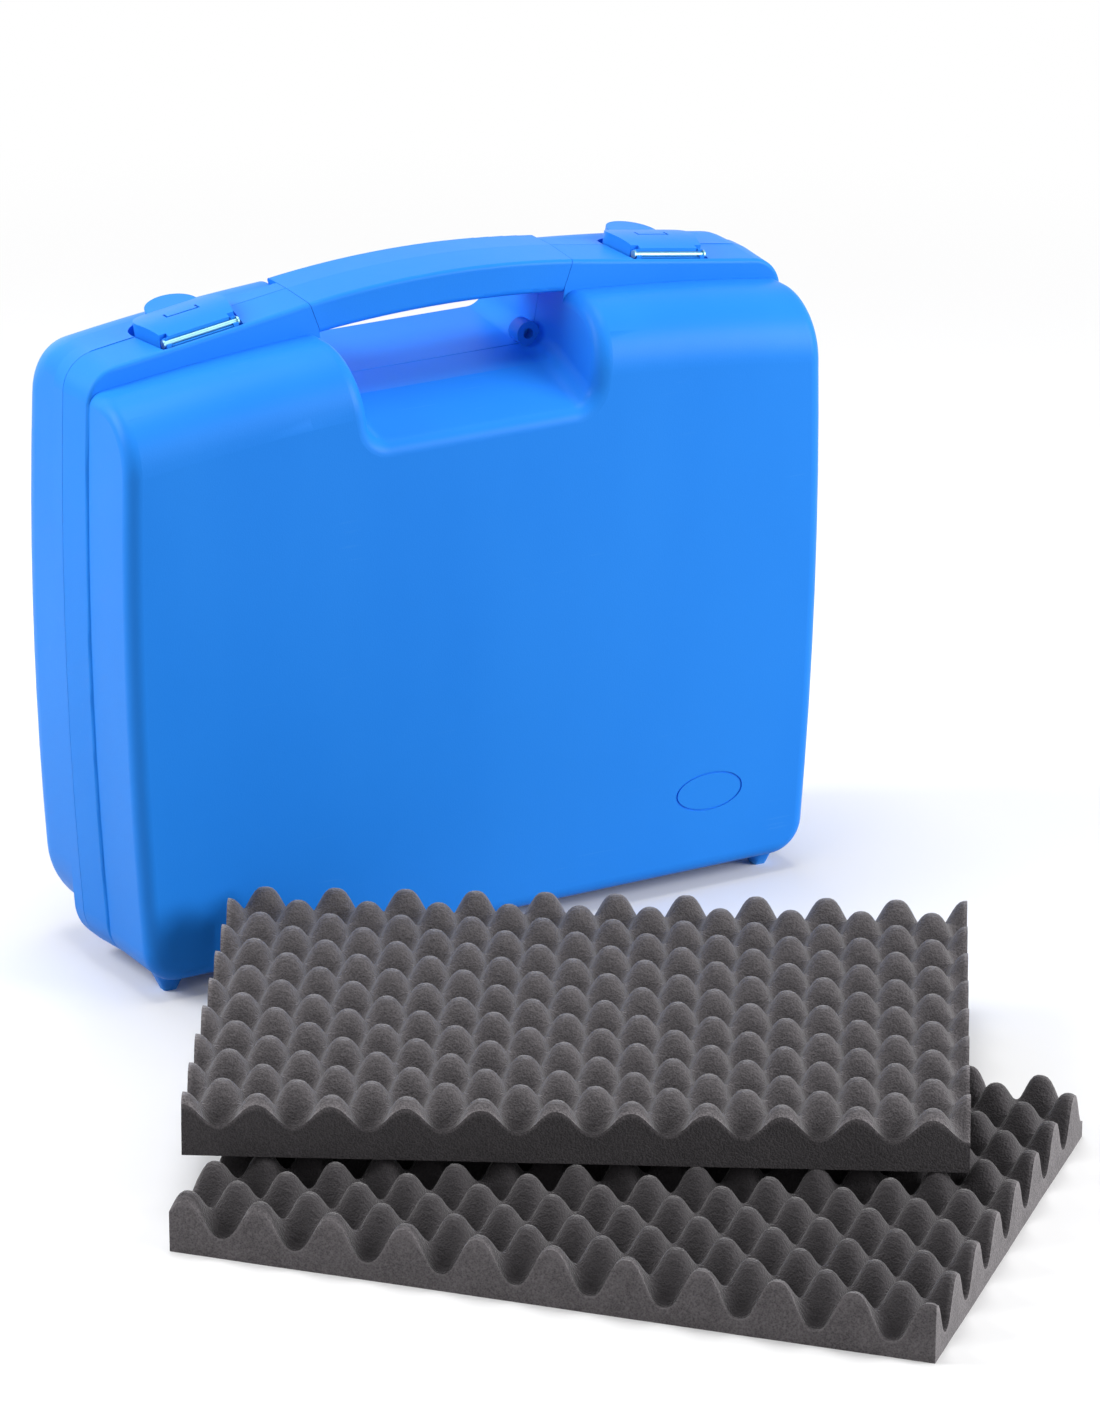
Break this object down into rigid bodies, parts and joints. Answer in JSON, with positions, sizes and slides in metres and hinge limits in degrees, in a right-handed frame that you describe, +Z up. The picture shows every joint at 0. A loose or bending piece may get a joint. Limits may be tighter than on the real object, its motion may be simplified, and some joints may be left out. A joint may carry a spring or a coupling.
{
  "type": "otoscope carry case",
  "caption": "Hinged two-shell hard plastic carry case with an arched grip and flap latches, standing behind its loose egg-crate foam linings.",
  "frame": {"origin": "on the floor under the middle of the shells' seam: the plane of the four feet, below the middle of the case", "axes": "+X to the right along the case's width, -Y out of the front shell's face, +Z up; the shells meet on the plane Y = 0"},
  "size_m": [0.4413, 0.5617, 0.295],
  "materials": {
    "shell_blue": "fine satin grain",
    "pin_nickel": "bright nickel",
    "hinge_steel": "plain steel",
    "foam_charcoal": "open-cell egg-crate foam"
  },
  "bodies": {
    "front_half": {"front_shell": "shell_blue", "grip": "shell_blue", "latch_pin_left": "pin_nickel", "latch_pin_right": "pin_nickel", "hinge_pin_left": "hinge_steel", "hinge_pin_right": "hinge_steel"},
    "rear_half": {"rear_shell": "shell_blue"},
    "left_latch": {"latch_flap_left": "shell_blue"},
    "right_latch": {"latch_flap_right": "shell_blue"},
    "lower_pad": {"lower_foam_pad": "foam_charcoal"},
    "upper_pad": {"upper_foam_pad": "foam_charcoal"}
  },
  "joints": [
    {"name": "case_hinge", "type": "hinge", "parent": "front_half", "child": "rear_half", "pos_m": [0, 0, 0.0042], "axis": [-1, 0, 0], "range_deg": [0, 150]},
    {"name": "left_latch_hinge", "type": "hinge", "parent": "front_half", "child": "left_latch", "pos_m": [-0.1145, -0.0166, 0.2831], "axis": [0.9894, 0, 0.1452], "range_deg": [0, 95]},
    {"name": "right_latch_hinge", "type": "hinge", "parent": "front_half", "child": "right_latch", "pos_m": [0.1145, -0.0166, 0.2831], "axis": [0.9894, 0, -0.1452], "range_deg": [0, 95]},
    {"name": "lower_pad_lift", "type": "slide", "parent": "front_half", "child": "lower_pad", "axis": [0, 0, 1], "range_m": [0, 0.15]},
    {"name": "upper_pad_lift", "type": "slide", "parent": "lower_pad", "child": "upper_pad", "axis": [0, 0, 1], "range_m": [0, 0.15]}
  ]
}
